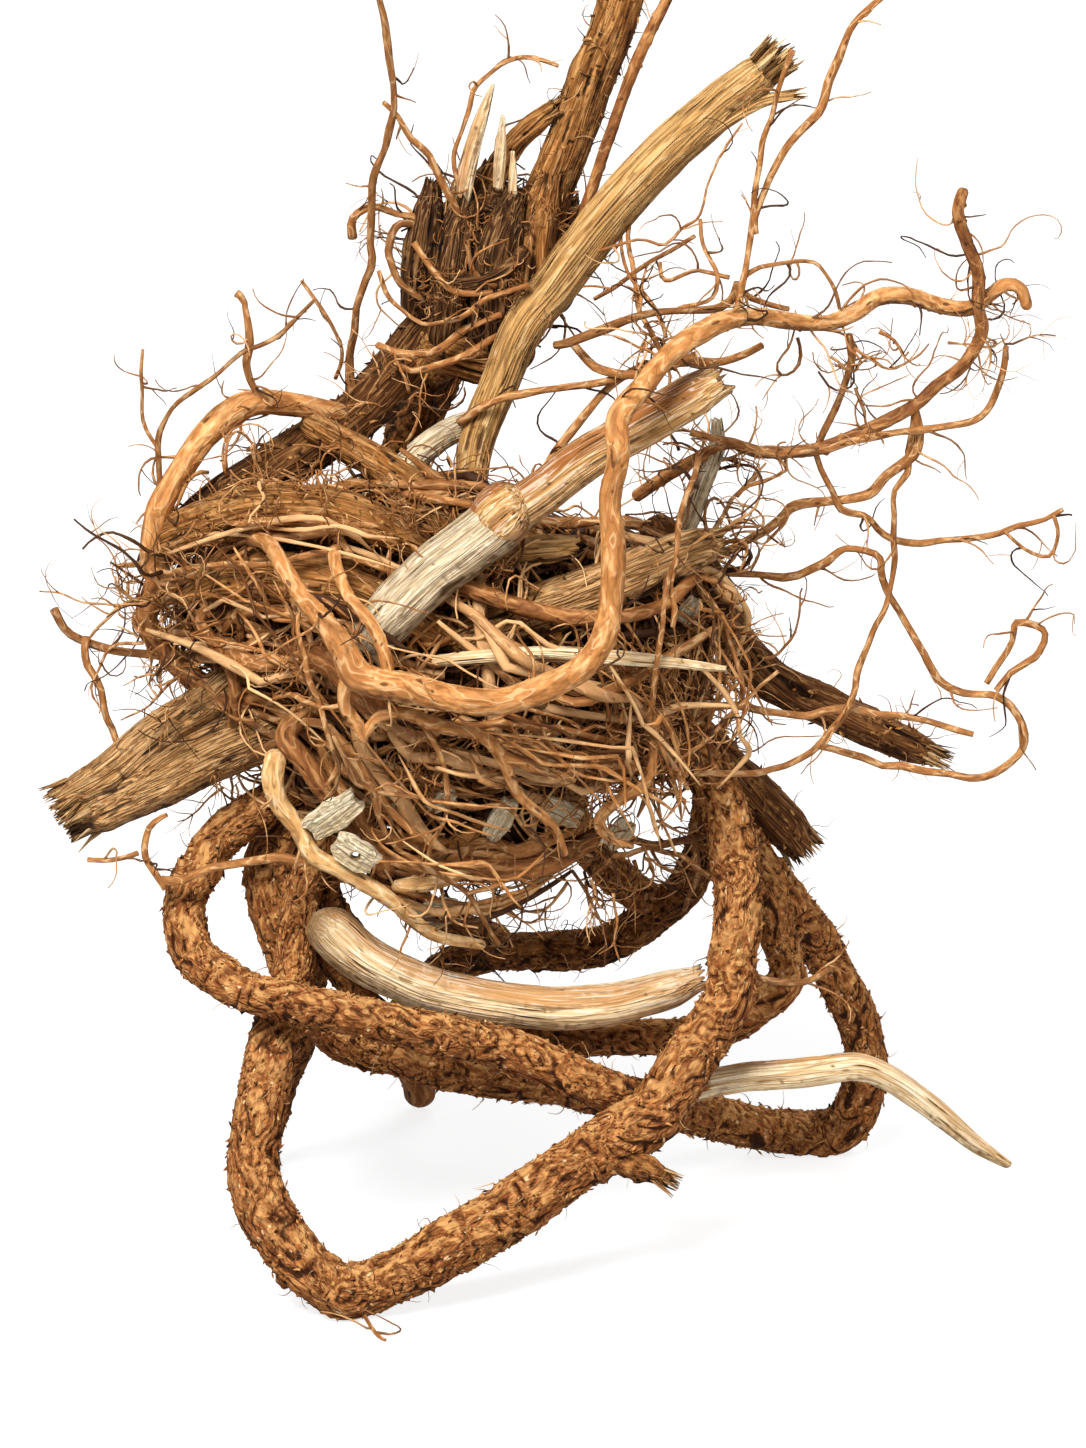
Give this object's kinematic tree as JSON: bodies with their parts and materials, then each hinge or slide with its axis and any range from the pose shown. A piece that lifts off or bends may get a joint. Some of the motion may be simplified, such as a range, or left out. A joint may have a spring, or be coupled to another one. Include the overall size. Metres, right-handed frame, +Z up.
{
  "type": "dry root",
  "caption": "Dried, dug-up root ball with looping bark roots, pale woody stem stumps and a matted crown, standing on its root loops",
  "frame": {"origin": "middle of the footprint's bounding box, on the surface that the root loops stand on", "axes": "+Z up, +X to the right as seen from the front, -Y towards the front, where the large loop touches down"},
  "size_m": [0.197, 0.1154, 0.2571],
  "materials": {
    "bark": "rough flaking red-brown bark",
    "peeled_wood": "dry straw-coloured wood with its bark off",
    "chip_wood": "weathered pale grey wood"
  },
  "bodies": {
    "root": {"dry_root": "bark", "peeled_length": "peeled_wood", "wood_chip_left": "chip_wood", "wood_chip_knot": "chip_wood", "wood_chip_mid": "chip_wood"}
  },
  "joints": []
}
